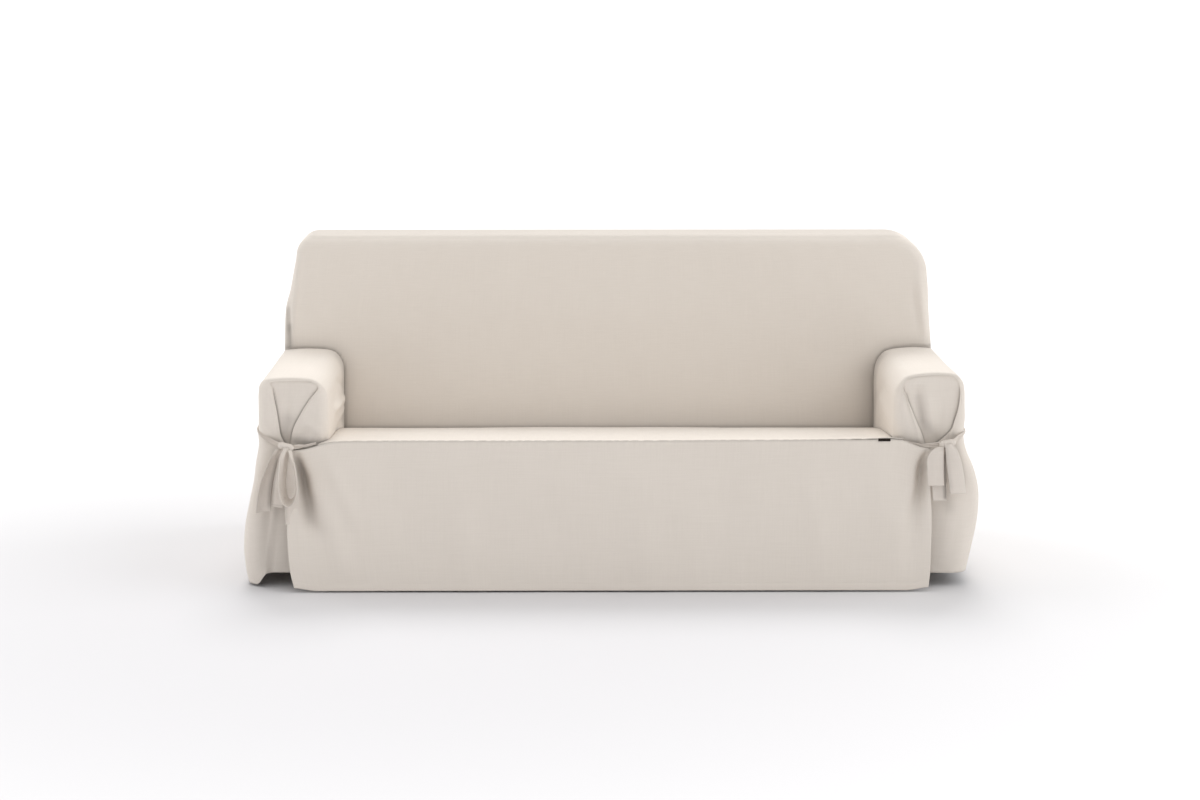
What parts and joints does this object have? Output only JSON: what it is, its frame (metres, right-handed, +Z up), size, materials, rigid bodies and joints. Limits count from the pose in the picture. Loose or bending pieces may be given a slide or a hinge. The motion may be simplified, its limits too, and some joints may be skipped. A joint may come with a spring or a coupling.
{
  "type": "sofa slipcover",
  "caption": "Hollow cloth cover for a three-seat sofa, open underneath, with covered arms, a front skirt and tied bows at the arms.",
  "frame": {"origin": "middle of the underside of the cover's top, where the top of a sofa's back carries it", "axes": "+Z up, +X along the width towards the viewer's right, -Y towards the front of the seat"},
  "size_m": [2.054, 0.9375, 0.9143],
  "materials": {
    "ecru_cloth": "plain woven cotton, matt",
    "ecru_ties": "the same cloth sewn into flat ties",
    "dark_label": "small dark woven tag, plain"
  },
  "bodies": {
    "root": {"inside_back": "ecru_cloth", "back_band": "ecru_cloth", "rear_panel": "ecru_cloth", "seat_panel": "ecru_cloth", "front_apron": "ecru_cloth", "arm_cover_left": "ecru_cloth", "arm_cover_right": "ecru_cloth", "arm_front_left": "ecru_cloth", "arm_front_right": "ecru_cloth", "tie_left_front_loop": "ecru_ties", "tie_left_outer_tail": "ecru_ties", "tie_left_middle_tail": "ecru_ties", "tie_left_long_tail": "ecru_ties", "tie_left_outer_band": "ecru_ties", "tie_left_inner_band": "ecru_ties", "tie_left_knot": "ecru_ties", "tie_right_inner_tail": "ecru_ties", "tie_right_outer_tail": "ecru_ties", "tie_right_back_tail": "ecru_ties", "tie_right_outer_band": "ecru_ties", "tie_right_inner_band": "ecru_ties", "tie_right_knot": "ecru_ties", "label": "dark_label"}
  },
  "joints": []
}
